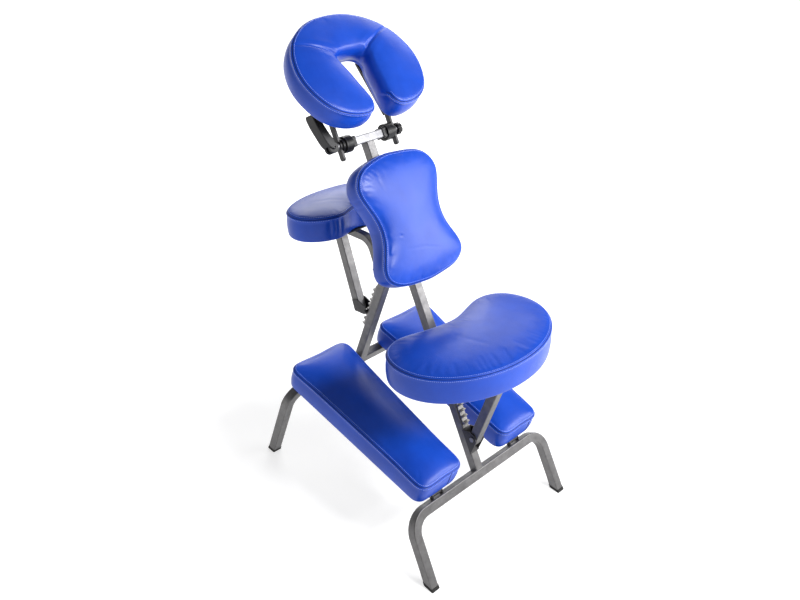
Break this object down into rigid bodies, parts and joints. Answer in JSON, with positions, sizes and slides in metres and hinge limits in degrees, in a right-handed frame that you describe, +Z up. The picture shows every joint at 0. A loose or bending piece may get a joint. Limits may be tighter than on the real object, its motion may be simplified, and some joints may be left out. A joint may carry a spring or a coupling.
{
  "type": "kneeling massage chair",
  "caption": "Portable kneeling massage chair: padded seat, shin pads, chest pad, arm rest and face cradle on a folding frame of square steel tube.",
  "frame": {"origin": "on the floor, under the middle of the whole chair's box", "axes": "+Z up, +Y the way the sitter faces, +X towards the sitter's right"},
  "size_m": [0.5424, 0.8239, 1.1471],
  "materials": {
    "blue_vinyl": "satin royal blue vinyl with fine grain",
    "board": "dark stained plywood",
    "frame_paint": "satin grey powder coat",
    "bracket_paint": "satin dark grey powder coat",
    "rack_steel": "worn grey powder coat",
    "bright_steel": "zinc plated",
    "black_rubber": "matte",
    "black_plastic": "fine moulded grain"
  },
  "bodies": {
    "rear_frame": {"rear_leg_tube": "frame_paint", "rear_foot_caps": "black_rubber", "mast_tube": "frame_paint", "main_hinge_plates": "bracket_paint", "main_hinge_bolt": "bright_steel", "stem_lock_boss": "bracket_paint", "seat_rack": "rack_steel", "seat_clevis": "bracket_paint", "seat_clevis_pin": "bright_steel", "shin_hinge_lugs": "bracket_paint", "shin_hinge_rods": "bright_steel"},
    "front_frame": {"front_leg_tube": "frame_paint", "front_foot_caps": "black_rubber", "front_strut_tube": "frame_paint", "main_hinge_bush": "bright_steel", "arm_rest_rack": "rack_steel", "arm_bracket": "bracket_paint", "arm_bracket_pin": "bright_steel", "shin_rest_blocks": "black_rubber"},
    "left_shin_pad": {"left_shin_cushion": "blue_vinyl", "left_shin_board": "board", "left_shin_hinge_leaf": "bracket_paint", "left_shin_screws": "bright_steel"},
    "right_shin_pad": {"right_shin_cushion": "blue_vinyl", "right_shin_board": "board", "right_shin_hinge_leaf": "bracket_paint", "right_shin_screws": "bright_steel"},
    "seat_strut": {"seat_strut_tube": "frame_paint"},
    "seat": {"seat_cushion": "blue_vinyl", "seat_board": "board", "seat_channel": "bracket_paint", "seat_pivot_pin": "bright_steel", "seat_catch_bar": "bright_steel", "seat_screws": "bright_steel"},
    "arm_rest": {"arm_rest_cushion": "blue_vinyl", "arm_rest_board": "board", "arm_rest_bracket": "bracket_paint", "arm_rest_pin": "bright_steel", "arm_rest_screws": "bright_steel", "curved_arm_tube": "frame_paint"},
    "arm_strut": {"arm_strut_tube": "frame_paint", "arm_strut_catch": "bracket_paint"},
    "chest_pad": {"chest_cushion": "blue_vinyl", "chest_board": "board", "chest_sleeve": "bracket_paint", "chest_screws": "bright_steel"},
    "chest_knob": {"chest_lock_knob": "black_plastic"},
    "head_stem": {"head_stem_tube": "frame_paint", "head_cross_bar": "frame_paint", "fixed_knuckles": "black_plastic", "clamp_rod": "bright_steel", "cam_pin": "bright_steel"},
    "stem_knob": {"stem_lock_knob": "black_plastic"},
    "lever": {"cam_lever": "black_plastic"},
    "clamp": {"clamp_knob": "black_plastic"},
    "face_cradle": {"turning_knuckles": "black_plastic", "cradle_arms": "bracket_paint", "face_board": "board", "face_cushion": "blue_vinyl", "face_screws": "bright_steel"}
  },
  "joints": [
    {"name": "base_fold", "type": "hinge", "parent": "rear_frame", "child": "front_frame", "pos_m": [0, 0.07791, 0.63772], "axis": [-1, 0, 0], "range_deg": [0, 40]},
    {"name": "left_shin_lift", "type": "hinge", "parent": "rear_frame", "child": "left_shin_pad", "pos_m": [-0.151, -0.28353, 0.16481], "axis": [1, 0, 0], "range_deg": [0, 25]},
    {"name": "right_shin_lift", "type": "hinge", "parent": "rear_frame", "child": "right_shin_pad", "pos_m": [0.151, -0.28353, 0.16481], "axis": [1, 0, 0], "range_deg": [0, 25]},
    {"name": "seat_strut_fold", "type": "hinge", "parent": "rear_frame", "child": "seat_strut", "pos_m": [0, -0.26821, 0.25277], "axis": [-1, 0, 0], "range_deg": [0, 30]},
    {"name": "seat_pivot", "type": "hinge", "parent": "seat_strut", "child": "seat", "pos_m": [0, -0.30799, 0.46674], "axis": [1, 0, 0], "range_deg": [0, 98.5]},
    {"name": "arm_rest_lift", "type": "hinge", "parent": "front_frame", "child": "arm_rest", "pos_m": [0, 0.12745, 0.56186], "axis": [1, 0, 0], "range_deg": [0, 25]},
    {"name": "arm_strut_swing", "type": "hinge", "parent": "arm_rest", "child": "arm_strut", "pos_m": [0, 0.28946, 0.60388], "axis": [1, 0, 0], "range_deg": [0, 13]},
    {"name": "chest_slide", "type": "slide", "parent": "rear_frame", "child": "chest_pad", "axis": [0, 0.5635, 0.8261], "range_m": [-0.04, 0.02]},
    {"name": "chest_knob_turn", "type": "hinge", "parent": "chest_pad", "child": "chest_knob", "pos_m": [-0.03, 0.11354, 0.74675], "axis": [-1, 0, 0], "range_deg": [0, 270]},
    {"name": "stem_slide", "type": "slide", "parent": "rear_frame", "child": "head_stem", "axis": [0, 0.5635, 0.8261], "range_m": [0, 0.08]},
    {"name": "stem_knob_turn", "type": "hinge", "parent": "rear_frame", "child": "stem_knob", "pos_m": [0, 0.15355, 0.8054], "axis": [0, 0.8261, -0.5635], "range_deg": [0, 270]},
    {"name": "cradle_tilt", "type": "hinge", "parent": "head_stem", "child": "face_cradle", "pos_m": [0, 0.21329, 0.89297], "axis": [1, 0, 0], "range_deg": [-10, 30]},
    {"name": "cam_lever_swing", "type": "hinge", "parent": "head_stem", "child": "lever", "pos_m": [-0.112, 0.21329, 0.89297], "axis": [0, -0.8261, 0.5635], "range_deg": [0, 100]},
    {"name": "clamp_knob_turn", "type": "hinge", "parent": "head_stem", "child": "clamp", "pos_m": [0.102, 0.21329, 0.89297], "axis": [1, 0, 0], "range_deg": [0, 270]}
  ],
  "couplings": [
    {"joint": "left_shin_lift", "follows": "base_fold", "ratio": 0.62},
    {"joint": "right_shin_lift", "follows": "base_fold", "ratio": 0.62},
    {"joint": "seat_pivot", "follows": "seat_strut_fold", "ratio": 3.2667},
    {"joint": "arm_strut_swing", "follows": "arm_rest_lift", "ratio": 0.5}
  ]
}
